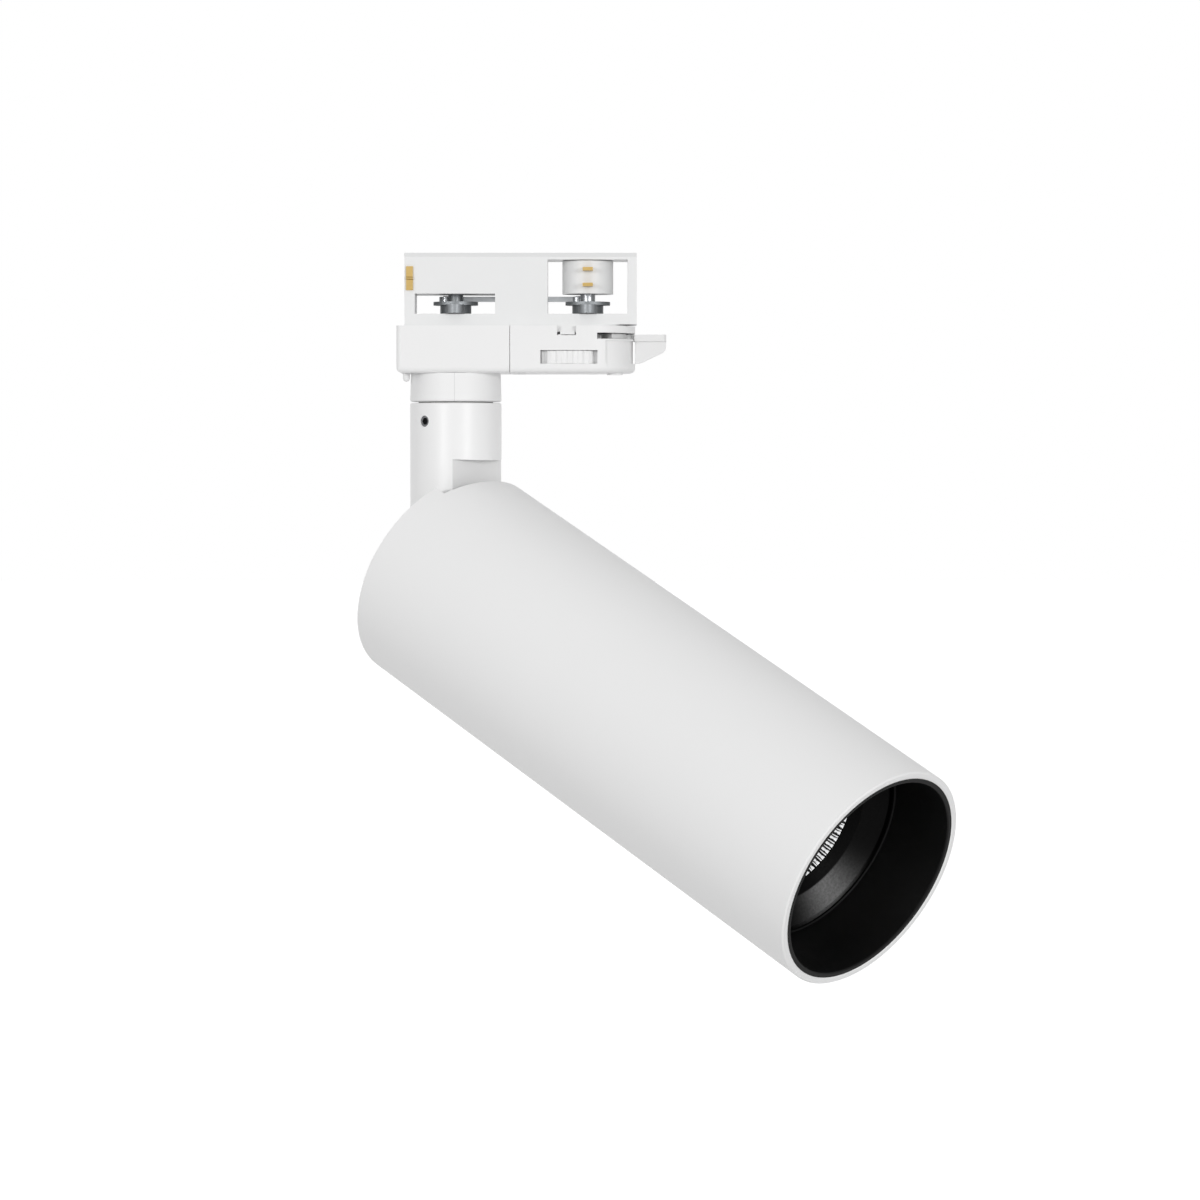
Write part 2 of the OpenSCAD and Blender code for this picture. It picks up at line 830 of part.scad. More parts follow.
// The lever's outline in its upright plane: a straight tip, a rounded corner and a slanting lower edge
module fin_outline() {
    root = half_w - past;
    toe = half_w + lever_gap;
    tip = lever_reach;
    slant = fin_drop / 8.4;
    polygon([[root, 0], [tip, 0], [tip, -3.2 * slant], [tip - 0.1, -4 * slant], [tip - 0.35, -4.7 * slant],
        [tip - 0.9, -5.2 * slant], [toe + 3.3, -7.45 * slant], [toe + 2, -8.05 * slant],
        [toe + 0.9, -fin_drop], [root, -fin_drop]]);
}

// The lever's finger plate and fin, hollowed to follow the housing's round end
module lever_grip() {
    round = 0.7;
    half = lever_plate_w / 2;
    difference() {
        union() {
            translate([0, 0, plate_top])
                along_y(-fin_w / 2, fin_w / 2)
                    fin_outline();
            translate([0, 0, plate_top - lever_plate_t])
                linear_extrude(height = lever_plate_t)
                    polygon([[half_w - past, -half], [lever_reach - round, -half],
                        [lever_reach, -half + round], [lever_reach, half - round],
                        [lever_reach - round, half], [half_w - past, half]]);
        }
        translate([0, 0, cover_bottom])
            cylinder(r = half_w + lever_gap, h = adapter_h);
    }
}

// The lever's hub: a boss round the shaft with a wide sector that backs its slot
module lever_hub() {
    wide = 2 * hub_r;
    translate([0, 0, hub_low]) {
        cylinder(r = lever_boss_r, h = lever_hub_t);
        linear_extrude(height = lever_hub_t)
            intersection() {
                circle(r = hub_r);
                polygon([[0, 0], wide * [cos(lever_sector), -sin(lever_sector)],
                    wide * [1, -sin(lever_sector)], wide * [1, sin(lever_sector)],
                    wide * [cos(lever_sector), sin(lever_sector)]]);
            }
    }
}

module lock_lever() {
    color(WHITE)
        translate([lever_x, 0, 0])
            difference() {
                union() {
                    lever_hub();
                    box([lever_boss_r, -lever_arm_w / 2, hub_low],
                        [half_w + lever_gap + past, lever_arm_w / 2, plate_top]);
                    lever_grip();
                }
                translate([0, 0, hub_low - past])
                    cylinder(r = lock_shaft_r + tight, h = lever_hub_t + 2 * past);
            }
}

module lock_shaft() {
    color(STEEL)
        translate([lever_x, 0, 0])
            difference() {
                translate([0, 0, hub_low])
                    cylinder(r = lock_shaft_r, h = insert_h - 0.2 - hub_low);
                translate([0, 0, hub_low - past])
                    cylinder(r = screw_r + tight, h = 8 + past);
            }
}

module lever_screw() {
    color(STEEL)
        translate([lever_x, 0, hub_low])
            screw(lock_shaft_r + 0.9, lever_screw_h, screw_r, 7.6);
}

// Two lock wings with the crank that the link rod joins
module wings() {
    translate([0, 0, wing_low])
        linear_extrude(height = wing_t) {
            circle(r = lock_shaft_r + 2.4);
            translate([-wing_half, -wing_reach + wing_half])
                square([2 * wing_half, 2 * (wing_reach - wing_half)]);
            for (side = [-1, 1])
                translate([0, side * (wing_reach - wing_half)])
                    circle(r = wing_half);
        }
    translate([0, 0, wing_top])
        cylinder(r = crank_r, h = crank_t);
    translate([crank_x, crank_y, wing_top])
        cylinder(r = crank_pin_r, h = pin_top - wing_top);
}

module lever_cam() {
    color(GREY)
        translate([lever_x, 0, 0])
            difference() {
                wings();
                translate([0, 0, wing_low - past])
                    cylinder(r = lock_shaft_r + tight, h = crank_top - wing_low + 2 * past);
            }
}

module rear_cam() {
    color(GREY) {
        wings();
        translate([0, 0, flange_low + 0.2])
            cylinder(r = lock_shaft_r, h = bay_top + 4 - flange_low - 0.2);
    }
}

module link_rod() {
    span = lever_x;
    loose = 0.3;
    color(STEEL)
        translate([crank_x, crank_y, link_low])
            difference() {
                linear_extrude(height = link_t) {
                    translate([0, -link_half])
                        square([span, 2 * link_half]);
                    for (x = [0, span])
                        translate([x, 0])
                            circle(r = link_end_r);
                }
                translate([0, 0, -past])
                    cylinder(r = crank_pin_r + loose, h = link_t + 2 * past);
                translate([span, 0, -past])
                    cylinder(r = crank_pin_r + running, h = link_t + 2 * past);
            }
}

// Contact fingers that stand out from the rotor
module fingers(places) {
    for (place = places)
        translate([lever_x, 0, place[1]])
            box([-finger_w / 2, place[0] > 0 ? finger_root : -finger_reach, -finger_t / 2],
                [finger_w / 2, place[0] > 0 ? finger_reach : -finger_root, finger_t / 2]);
}

module contact_rotor() {
    color(WHITE)
        difference() {
            translate([lever_x, 0, rotor_low])
                cylinder(r = rotor_r, h = rotor_top - rotor_low);
            translate([lever_x, 0, rotor_low - past])
                cylinder(r = lock_shaft_r + tight, h = rotor_top - rotor_low + 2 * past);
            fingers(concat(PHASES, NEUTRAL));
        }
}

module phase_contacts() {
    color(BRASS)
        fingers(PHASES);
}

module neutral_contact() {
    color(BRASS)
        fingers(NEUTRAL);
}

module selector_wheel() {
    first_flute = 0.6;
    color(WHITE)
        translate([selector_x, 0, wheel_low])
            difference() {
                union() {
                    cylinder(r = wheel_r, h = wheel_h - rim_step);
                    cylinder(r = wheel_r - rim_w, h = wheel_h);
                }
                for (k = [0:wheel_flutes - 1])
                    rotate([0, 0, 360 * (k + first_flute) / wheel_flutes])
                        translate([0, -wheel_r - flute_out, -past])
                            cylinder(r = flute_r, h = wheel_h + 2 * past, $fn = 32);
                translate([0, 0, -past])
                    cylinder(r = spindle_r + running, h = wheel_h + 2 * past);
            }
}

module selector_wiper() {
    arm_w = 2.4;
    color(BRASS)
        translate([selector_x, 0, wheel_top])
            difference() {
                union() {
                    cylinder(r = spindle_r + 2.4, h = wiper_t);
                    box([-arm_w / 2, 0, 0], [arm_w / 2, inner_half_w - 3, wiper_t]);
                }
                translate([0, 0, -past])
                    cylinder(r = spindle_r + free_gap, h = wiper_t + 2 * past);
            }
}

module stem() {
    color(WHITE)
        on_stem()
            difference() {
                union() {
                    rotate_extrude()
                        polygon([[0, pivot_z], [stem_r, pivot_z], [stem_r, stem_top - stem_chamfer],
                            [stem_r - stem_chamfer, stem_top], [0, stem_top]]);
                    intersection() {
                        translate([0, 0, pivot_z - stem_r])
                            cylinder(r = stem_r, h = stem_r);
                        translate([0, stem_r, pivot_z])
                            rotate([90, 0, 0])
                                cylinder(r = stem_r, h = stem_d);
                    }
                }
                translate([0, 0, spigot_low - free_gap])
                    cylinder(r = spigot_r + running, h = spigot_l + free_gap + past);
                translate([0, 0, pivot_z - stem_d])
                    cylinder(r = stem_bore_r, h = stem_d + spigot_low - pivot_z);
                along_y(-stem_d, stem_d)
                    polygon([[flat_x, ledge_z], [stem_r, ledge_z - ledge_fall],
                        [stem_r + past, ledge_z - ledge_fall], [stem_r + past, pivot_z - stem_d],
                        [flat_x, pivot_z - stem_d]]);
                for (side = [-1, 1])
                    box([-stem_d, side > 0 ? cheek_y : -stem_d, pivot_z - stem_d],
                        [stem_d, side > 0 ? stem_d : -cheek_y, pivot_z + cheek_rise]);
                for (side = [-1, 1])
                    translate([0, 0, pivot_z])
                        rotate([-90 * side, 0, 0])
                            translate([0, 0, tilt_thread_in - 0.2])
                                cylinder(r = tilt_thread_r + tight, h = stem_d);
                translate([0, 0, grub_z])
                    rotate([90, 0, 0])
                        cylinder(r = grub_r + tight, h = stem_d);
            }
}

module grub_screw() {
    tip = groove_r + 0.5;
    head = stem_r - 0.35;
    color(GREY)
        on_stem()
            translate([0, 0, grub_z])
                rotate([90, 0, 0])
                    difference() {
                        translate([0, 0, tip])
                            cylinder(r = grub_r, h = head - tip);
                        translate([0, 0, head - 1.8])
                            cylinder(r = socket_across / sqrt(3), h = 1.8 + past, $fn = 6);
                    }
}

module pan_washer() {
    color(GREY)
        on_stem()
            difference() {
                translate([0, 0, stem_top + tight])
                    cylinder(r = pan_washer_r, h = pan_gap - 3 * tight);
                translate([0, 0, stem_top - past])
                    cylinder(r = spigot_r + free_gap, h = pan_gap + 2 * past);
            }
}

module tilt_screws() {
    color(STEEL)
        on_stem()
            for (side = [-1, 1])
                translate([0, 0, pivot_z])
                    rotate([-90 * side, 0, 0])
                        difference() {
                            union() {
                                translate([0, 0, tilt_thread_in])
                                    cylinder(r = tilt_thread_r, h = cheek_y - tilt_thread_in);
                                translate([0, 0, cheek_y])
                                    cylinder(r = pivot_r, h = ear_out + running - cheek_y);
                                translate([0, 0, ear_out + running])
                                    cylinder(r = tilt_head_r, h = tilt_head_h);
                            }
                            translate([0, 0, ear_out + 1])
                                cylinder(r = pivot_r * 0.7, h = tilt_head_h + past, $fn = 6);
                        }
}

module tilt_washers() {
    color(GREY)
        on_stem()
            for (side = [-1, 1])
                translate([0, 0, pivot_z])
                    rotate([-90 * side, 0, 0])
                        difference() {
                            translate([0, 0, cheek_y])
                                cylinder(r = tilt_washer_r, h = washer_t);
                            translate([0, 0, cheek_y - past])
                                cylinder(r = pivot_r + running, h = washer_t + 2 * past);
                        }
}

module stem_leads() {
    color("firebrick")
        on_stem()
            for (spot = LEAD_SPOTS)
                translate([spot[0], spot[1], pivot_z - stem_r + 2])
                    cylinder(r = lead_r, h = spigot_low - 0.5 - pivot_z + stem_r - 2, $fn = 24);
}

module lamp_tube() {
    outer_edge = 0.4;
    mouth_edge = 0.4;
    color(WHITE)
        on_lamp()
            difference() {
                revolve([[bore_r, tube_rear], [tube_r - outer_edge, tube_rear],
                    [tube_r, tube_rear + outer_edge], [tube_r, tube_front - outer_edge],
                    [tube_r - outer_edge, tube_front],
                    [bore_r + mouth_edge, tube_front], [bore_r, tube_front - snoot_recess]]);
                intersection() {
                    box([tube_rear - past, -slot_w / 2, 0], [slot_end + past, slot_w / 2, tube_r + past]);
                    translate([slot_end - slot_r, 0, 0])
                        cylinder(r = slot_r, h = tube_r + past, $fn = 180);
                }
            }
}

module rear_cap() {
    color(WHITE)
        on_lamp()
            difference() {
                union() {
                    disc(seat_r, cap_low, cap_low + cap_t);
                    revolve([[seat_r - cap_skirt_t, cap_low], [seat_r, cap_low],
                        [seat_r, cap_low + cap_skirt_l], [seat_r - cap_skirt_t, cap_low + cap_skirt_l]]);
                }
                box([cap_low - past, -slot_w / 2, cap_slot_low],
                    [cap_low + cap_skirt_l + past, slot_w / 2, tube_r + past]);
                translate([0, tube_r, 0])
                    rotate([90, 0, 0])
                        cylinder(r = tilt_head_r + free_gap, h = tube_d);
            }
}

module tilt_bracket() {
    color(STEEL)
        on_lamp()
            difference() {
                union() {
                    box([bracket_s, -ear_out, -bracket_half_h],
                        [bracket_s + bracket_t, ear_out, bracket_half_h]);
                    for (side = [-1, 1])
                        box([ear_back, side > 0 ? ear_in : -ear_out, -ear_h / 2],
                            [bracket_s + bracket_t, side > 0 ? ear_out : -ear_in, ear_h / 2]);
                }
                translate([0, tube_r, 0])
                    rotate([90, 0, 0])
                        cylinder(r = pivot_r + running, h = tube_d);
                translate([bracket_s - past, 0, 0])
                    rotate([0, 90, 0])
                        cylinder(r = wire_bore_r + past, h = bracket_t + 2 * past);
                bracket_holes(bracket_s - past, bracket_t + 2 * past);
            }
}

// The four places of the bracket's screws
module bracket_spots() {
    for (side = [-1, 1], end = [-1, 1])
        translate([0, side * (ear_in - 4), end * (bracket_half_h - 3)])
            children();
}

// Holes for the bracket's screws
module bracket_holes(s, length) {
    bracket_spots()
        translate([s, 0, 0])
            rotate([0, 90, 0])
                cylinder(r = screw_r + tight, h = length);
}

module bracket_screws() {
    color(STEEL)
        on_lamp()
            bracket_spots()
                translate([bracket_s, 0, 0])
                    rotate([0, 90, 0])
                        screw(screw_head_r, screw_head_h, screw_r, bracket_t + chassis_t + 0.6);
}

module chassis() {
    color(STEEL)
        on_lamp()
            difference() {
                union() {
                    disc(seat_r, chassis_s, tray_s);
                    box([chassis_s, -tray_half_w, tray_low], [sink_rear, tray_half_w, tray_top]);
                }
                translate([chassis_s - past, 0, 0])
                    rotate([0, 90, 0])
                        cylinder(r = wire_bore_r + past, h = chassis_t + 2 * past);
                bracket_holes(chassis_s - past, chassis_t + 2 * past);
            }
}

module driver_case() {
    rib = 1;
    color(GREY)
        on_lamp() {
            box([driver_s0, -driver_w / 2, tray_top], [driver_s1, driver_w / 2, driver_top]);
            for (k = [2:5])
                box([driver_s0 + driver_l * k / 6, -driver_w / 2 + 3, driver_top],
                    [driver_s0 + driver_l * k / 6 + 2 * rib, driver_w / 2 - 3, driver_top + rib]);
        }
}

module driver_terminals() {
    color(WHITE)
        on_lamp()
            box([driver_s0, -term_w / 2, driver_top], [driver_s0 + term_l, term_w / 2, term_top]);
}

module head_leads() {
    color("firebrick")
        on_lamp()
            for (spot = LEAD_SPOTS)
                translate([bracket_s + 0.5, spot[0], spot[1]])
                    rotate([0, 90, 0])
                        cylinder(r = lead_r, h = driver_s0 - bracket_s - 0.5, $fn = 24);
}

module led_leads() {
    color("firebrick")
        on_lamp()
            for (side = [-1, 1])
                translate([driver_s0 + term_l, side * 1.8, led_lead_n])
                    rotate([0, 90, 0])
                        cylinder(r = lead_r, h = sink_front - driver_s0 - term_l, $fn = 24);
}

module heat_sink() {
    color(BLACK)
        on_lamp()
            difference() {
                union() {
                    disc(seat_r, sink_front - sink_base_t, sink_front);
                    intersection() {
                        disc(seat_r, sink_rear, sink_front);
                        for (k = [0:sink_fins - 1])
                            translate([sink_rear, (k - (sink_fins - 1) / 2) * sink_fin_pitch, 0])
                                box([0, -sink_fin_t / 2, -tube_r],
                                    [heat_sink_l - sink_base_t / 2, sink_fin_t / 2, tube_r]);
                    }
                }
                translate([sink_rear - past, 0, led_lead_n])
                    rotate([0, 90, 0])
                        cylinder(r = led_duct_r, h = heat_sink_l + 2 * past);
                for (side = [-1, 1])
                    translate([sink_front - holder_grip - 0.2, side * holder_screw_y, 0])
                        rotate([0, 90, 0])
                            cylinder(r = screw_r + tight, h = holder_grip + 0.2 + past);
            }
}

module led_board() {
    color("gainsboro")
        on_lamp()
            box([sink_front, -board_w / 2, -board_w / 2], [sink_front + board_t, board_w / 2, board_w / 2]);
}

module led_emitter() {
    color("gold")
        on_lamp()
            translate([sink_front + board_t, 0, 0])
                rotate([0, 90, 0])
                    cylinder(d = emitter_d, h = emitter_t);
}

module led_holder() {
    color(WHITE)
        on_lamp()
            difference() {
                disc(holder_r, sink_front, reflector_rear);
                box([sink_front - past, -board_w / 2 - running, -board_w / 2 - running],
                    [sink_front + board_t + tight, board_w / 2 + running, board_w / 2 + running]);
                translate([sink_front - past, 0, 0])
                    rotate([0, 90, 0])
                        cylinder(r = reflector_back_r, h = holder_t + 2 * past);
                for (side = [-1, 1])
                    translate([sink_front - past, side * holder_screw_y, 0])
                        rotate([0, 90, 0])
                            cylinder(r = screw_r + tight, h = holder_t + 2 * past);
            }
}

module holder_screws() {
    color(STEEL)
        on_lamp()
            for (side = [-1, 1])
                translate([reflector_rear, side * holder_screw_y, 0])
                    rotate([0, -90, 0])
                        screw(screw_head_r, screw_head_h, screw_r, holder_t + holder_grip);
}

// Radius of the reflector's parabola at a distance from its small end
function dish_r(s) = sqrt(pow(reflector_back_r, 2)
    + (pow(reflector_front_r, 2) - pow(reflector_back_r, 2)) * s / reflector_l);

module reflector() {
    inner = [for (k = [0:reflector_steps]) let (s = reflector_l * k / reflector_steps)
        [dish_r(s), reflector_rear + s]];
    outer = [for (k = [reflector_steps:-1:0]) let (s = reflector_l * k / reflector_steps)
        [dish_r(s) + reflector_wall, reflector_rear + s]];
    color("lightgray")
        on_lamp() {
            revolve(concat(inner, outer));
            revolve([[reflector_front_r + reflector_wall / 2, cone_rear - reflector_rim_t],
                [reflector_front_r + 4, cone_rear - reflector_rim_t], [reflector_front_r + 4, cone_rear],
                [reflector_front_r + reflector_wall / 2, cone_rear]]);
        }
}

module cone_ring() {
    groove = 1.5;
    color(BLACK)
        on_lamp()
            revolve([[aperture_r, cone_rear], [seat_r, cone_rear], [seat_r, snoot_rear],
                [snoot_base_r, snoot_rear], [snoot_base_r, snoot_rear - groove],
                [cone_front_r, snoot_rear - groove], [cone_front_r, snoot_rear - 0.1],
                [cone_back_r, cone_back_s]]);
}

module snoot() {
    bead = 0.35;
    lip_r = 0.5;
    lip = [for (turn = [0:15:90])
        [snoot_mouth_r + lip_r - lip_r * sin(turn), snoot_front - lip_r + lip_r * cos(turn)]];
    color(BLACK)
        on_lamp()
            revolve(concat([[snoot_base_r - bead, snoot_rear], [seat_r, snoot_rear], [seat_r, snoot_front]],
                lip, [[snoot_base_r, snoot_rear + 0.8], [snoot_base_r - bead, snoot_rear + 0.5]]));
}

swivel_cover();
adapter_housing();
track_insert();
insert_lid();
earth_contacts();
terminal_block();
adapter_leads();
phase_plate();
cover_screws();
swivel_spigot();
spigot_nut();
spigot_washer();
swivel_collar();
lock_lever();
lock_shaft();
lever_cam();
contact_rotor();
phase_contacts();
neutral_contact();
lever_screw();
link_rod();
rear_cam();
selector_wheel();
selector_wiper();
stem();
grub_screw();
pan_washer();
tilt_screws();
tilt_washers();
stem_leads();
lamp_tube();
rear_cap();
tilt_bracket();
bracket_screws();
chassis();
driver_case();
driver_terminals();
head_leads();
heat_sink();
led_board();
led_emitter();
led_holder();
holder_screws();
led_leads();
reflector();
cone_ring();
snoot();
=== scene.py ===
"""Looks of a track spotlight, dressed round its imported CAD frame.

The CAD solids keep their shapes and get procedural finishes. The reflector's pillowed bowl is a new
surface that stands for its plain solid. Everything is in metres in the CAD frame: the origin is on
the swivel axis in the plane of the track's underside, +Z is up and +X runs towards the lock lever.
"""

import logging
import math
from dataclasses import dataclass, field, replace
from enum import Enum
from typing import Any

import bpy
import numpy as np
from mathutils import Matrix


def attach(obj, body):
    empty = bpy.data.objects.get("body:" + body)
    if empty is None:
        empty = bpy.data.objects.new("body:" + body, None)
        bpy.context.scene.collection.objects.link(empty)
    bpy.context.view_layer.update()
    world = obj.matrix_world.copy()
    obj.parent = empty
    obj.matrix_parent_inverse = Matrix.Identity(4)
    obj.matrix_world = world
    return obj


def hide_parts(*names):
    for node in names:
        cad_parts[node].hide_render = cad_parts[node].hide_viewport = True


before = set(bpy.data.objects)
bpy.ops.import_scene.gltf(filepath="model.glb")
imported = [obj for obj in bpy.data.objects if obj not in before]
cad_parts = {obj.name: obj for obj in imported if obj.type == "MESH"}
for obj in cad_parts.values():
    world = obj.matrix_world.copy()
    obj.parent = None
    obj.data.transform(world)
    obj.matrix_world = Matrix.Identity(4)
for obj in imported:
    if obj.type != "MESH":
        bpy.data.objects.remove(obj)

LOG = logging.getLogger("track_spotlight")
MM = 0.001
WHITE = (1.0, 1.0, 1.0, 1.0)
# Nearly all of a noise texture's values lie in this range
GRAIN_RANGE = {"From Min": 0.25, "From Max": 0.75}
GRAIN_BITE = 0.55
SEAM_GREY = "#DADADA"
# Middle of the cone's painted highlight in the lamp's axes: low down and towards the far side
PAINTED_HIGHLIGHT_SIDE = (0.0, 0.684, -0.729)
# How tightly the painted highlight gathers round its middle
PAINTED_HIGHLIGHT_POWER = 20.0
# Share of the painted highlight that stays in the grain's pits
PIT_SHARE = 0.55
# Painted shade: the black drawn behind the cone's throat station
THROAT_PAINTED_SHADE = "#060606"
THROAT_FADE_MM = 0.15


def linear(hex_colour: str) -> tuple[float, float, float, float]:
    """Turns an sRGB hex colour into linear values with full alpha.

    Args:
        hex_colour: six hex digits after a hash sign.

    Returns:
        Red, green, blue and alpha in linear light.
    """
    parts = [int(hex_colour[k : k + 2], 16) / 255 for k in (1, 3, 5)]
    lit = [c / 12.92 if c <= 0.04045 else ((c + 0.055) / 1.055) ** 2.4 for c in parts]
    return (lit[0], lit[1], lit[2], 1.0)


def add_node(
    tree: bpy.types.NodeTree,
    kind: str,
    settings: dict[str, Any] | None = None,
    sockets: dict[str | int, Any] | None = None,
) -> bpy.types.Node:
    """Adds one shader node with its settings, constants and links.

    Args:
        tree: the node tree that gets the node.
        kind: Blender's name for the node's type.
        settings: attributes of the node itself.
        sockets: inputs by name or number; a socket is linked and anything else is a constant.

    Returns:
        The new node.
    """
    node = tree.nodes.new(kind)
    for name, value in (settings or {}).items():
        setattr(node, name, value)
    for key, value in (sockets or {}).items():
        if isinstance(value, bpy.types.NodeSocket):
            tree.links.new(value, node.inputs[key])
        else:
            node.inputs[key].default_value = value
    return node


@dataclass(frozen=True)
class Aim:
    """Where the lamp hangs and points, as drawn in the CAD."""

    turn: float = math.radians(41.5)
    dip: float = math.radians(26.8)
    pivot: tuple[float, float, float] = (0.0, 0.0, -75.95 * MM)

    def euler(self) -> tuple[float, float, float]:
        """Gives the lamp's rotation, dip about Y and then turn about Z."""
        return (0.0, self.dip, -self.turn)

    def seat(self) -> dict[str, tuple[float, float, float]]:
        """Gives a Mapping node's sockets that turn a pattern into the lamp's own axes."""
        return {"Location": self.pivot, "Rotation": self.euler()}

    def place(self, points: np.ndarray) -> np.ndarray:
        """Carries points from the lamp's own axes into the CAD frame.

        Args:
            points: an array whose last axis holds station, side and height in metres.

        Returns:
            The same array shape in the CAD frame: turn times dip times point, plus the pivot.
        """
        ct, st = math.cos(self.turn), math.sin(self.turn)
        cd, sd = math.cos(self.dip), math.sin(self.dip)
        dip = np.array([[cd, 0.0, sd], [0.0, 1.0, 0.0], [-sd, 0.0, cd]])
        turn = np.array([[ct, st, 0.0], [-st, ct, 0.0], [0.0, 0.0, 1.0]])
        return points @ (turn @ dip).T + np.array(self.pivot)


class Texture(Enum):
    """How a surface was made, as the stretch of its grain along three axes and its noise detail."""

    SPRAYED = ((1.0, 1.0, 1.0), 1.0)
    SPARK_ERODED = ((1.0, 1.0, 1.0), 4.0)
    TURNED = ((1.0, 120.0, 120.0), 2.0)
    BRUSHED = ((30.0, 1.0, 1.0), 3.0)
    PLATED = ((1.0, 1.0, 1.0), 2.0)


@dataclass(frozen=True)
class Finish:
    """One real material with the way its surface was made, and any painted highlight and shade
    drawn on it.
    """

    name: str
    colour: str
    shade: str
    texture: Texture
    grain_mm: float
    relief_mm: float
    roughness: float
    spread: float = 0.05
    patch_mm: float = 18.0
    metallic: float = 0.0
    ior: float = 1.5
    specular: float = 0.5
    coat: float = 0.0
    seam_mm: float = 0.0
    # Station behind which the colour is painted shade, black
    throat_mm: float = 0.0
    # Colour of a painted highlight on one side round the lamp's axis
    pale: str = ""
    on_lamp: bool = False

    def material(self) -> bpy.types.Material:
        """Gives the finish's material, made on its first use."""
        return bpy.data.materials.get(self.name) or self.build()

    def build(self) -> bpy.types.Material:
        """Makes the node tree: tonal patches, a grain for gloss and relief, any seam, and any
        painted highlight and painted shade of a throat.

        Returns:
            The new material.
        """
        made = bpy.data.materials.new(self.name)
        made.use_nodes = True
        tree = made.node_tree
        tree.nodes.clear()
        seat = Aim().seat() if self.on_lamp else {}
        spot = add_node(tree, "ShaderNodeTexCoord").outputs["Object"]
        stretch, detail = self.texture.value
        grain_at = add_node(
            tree,
            "ShaderNodeMapping",
            {"vector_type": "TEXTURE"},
            {"Vector": spot, "Scale": tuple(self.grain_mm * MM * s for s in stretch), **seat},
        )
        grain = add_node(
            tree,
            "ShaderNodeTexNoise",
            sockets={
                "Vector": grain_at.outputs["Vector"],
                "Scale": 1.0,
                "Detail": detail,
                "Roughness": GRAIN_BITE,
            },
        ).outputs[0]
        patch_at = add_node(
            tree,
            "ShaderNodeMapping",
            {"vector_type": "TEXTURE"},
            {"Vector": spot, "Scale": (self.patch_mm * MM,) * 3},
        )
        patches = add_node(
            tree,
            "ShaderNodeTexNoise",
            sockets={"Vector": patch_at.outputs["Vector"], "Scale": 1.0, "Detail": 2.0},
        ).outputs[0]
        tone = add_node(
            tree,
            "ShaderNodeMix",
            {"data_type": "RGBA"},
            {0: patches, 6: linear(self.colour), 7: linear(self.shade)},
        ).outputs[2]
        height = grain
        if self.seam_mm:
            tone, height = self.seam(tree, spot, tone, grain)
        # Painted highlight on one side and painted shade behind the throat
        if self.throat_mm:
            tone = self.throat(tree, spot, tone, grain)
        gloss = add_node(
            tree,
            "ShaderNodeMapRange",
            sockets={
                "Value": grain,
                **GRAIN_RANGE,
                "To Min": self.roughness - self.spread,
                "To Max": self.roughness + self.spread,
            },
        ).outputs[0]
        relief = add_node(
            tree,
            "ShaderNodeBump",
            sockets={"Strength": 1.0, "Distance": self.relief_mm * MM, "Height": height},
        ).outputs[0]
        surface = add_node(
            tree,
            "ShaderNodeBsdfPrincipled",
            sockets={
                "Base Color": tone,
                "Roughness": gloss,
                "Normal": relief,
                "Metallic": self.metallic,
                "IOR": self.ior,
                "Specular IOR Level": self.specular,
                "Coat Weight": self.coat,
            },
        ).outputs[0]
        add_node(tree, "ShaderNodeOutputMaterial", sockets={"Surface": surface})
        return made

    def seam(
        self,
        tree: bpy.types.NodeTree,
        spot: bpy.types.NodeSocket,
        tone: bpy.types.NodeSocket,
        grain: bpy.types.NodeSocket,
    ) -> tuple[bpy.types.NodeSocket, bpy.types.NodeSocket]:
        """Draws the fine upright line that two mould halves leave where X is zero.

        Args:
            tree: the material's node tree.
            spot: the object coordinates.
            tone: the colour without the line.
            grain: the height without the line.

        Returns:
            The colour and the height with the line, which fades over the seam's width from X zero.
        """
        across = add_node(tree, "ShaderNodeSeparateXYZ", sockets={0: spot}).outputs["X"]
        away = add_node(tree, "ShaderNodeMath", {"operation": "ABSOLUTE"}, {0: across}).outputs[0]
        line = add_node(
            tree,
            "ShaderNodeMapRange",
            {"interpolation_type": "SMOOTHSTEP"},
            {
                "Value": away,
                "From Min": 0.0,
                "From Max": self.seam_mm * MM,
                "To Min": 1.0,
                "To Max": 0.0,
            },
        ).outputs[0]
        lined = add_node(
            tree,
            "ShaderNodeMix",
            {"data_type": "RGBA"},
            {0: line, 6: tone, 7: linear(SEAM_GREY)},
        ).outputs[2]
        sunk = add_node(tree, "ShaderNodeMath", {"operation": "SUBTRACT"}, {0: grain, 1: line})
        return lined, sunk.outputs[0]

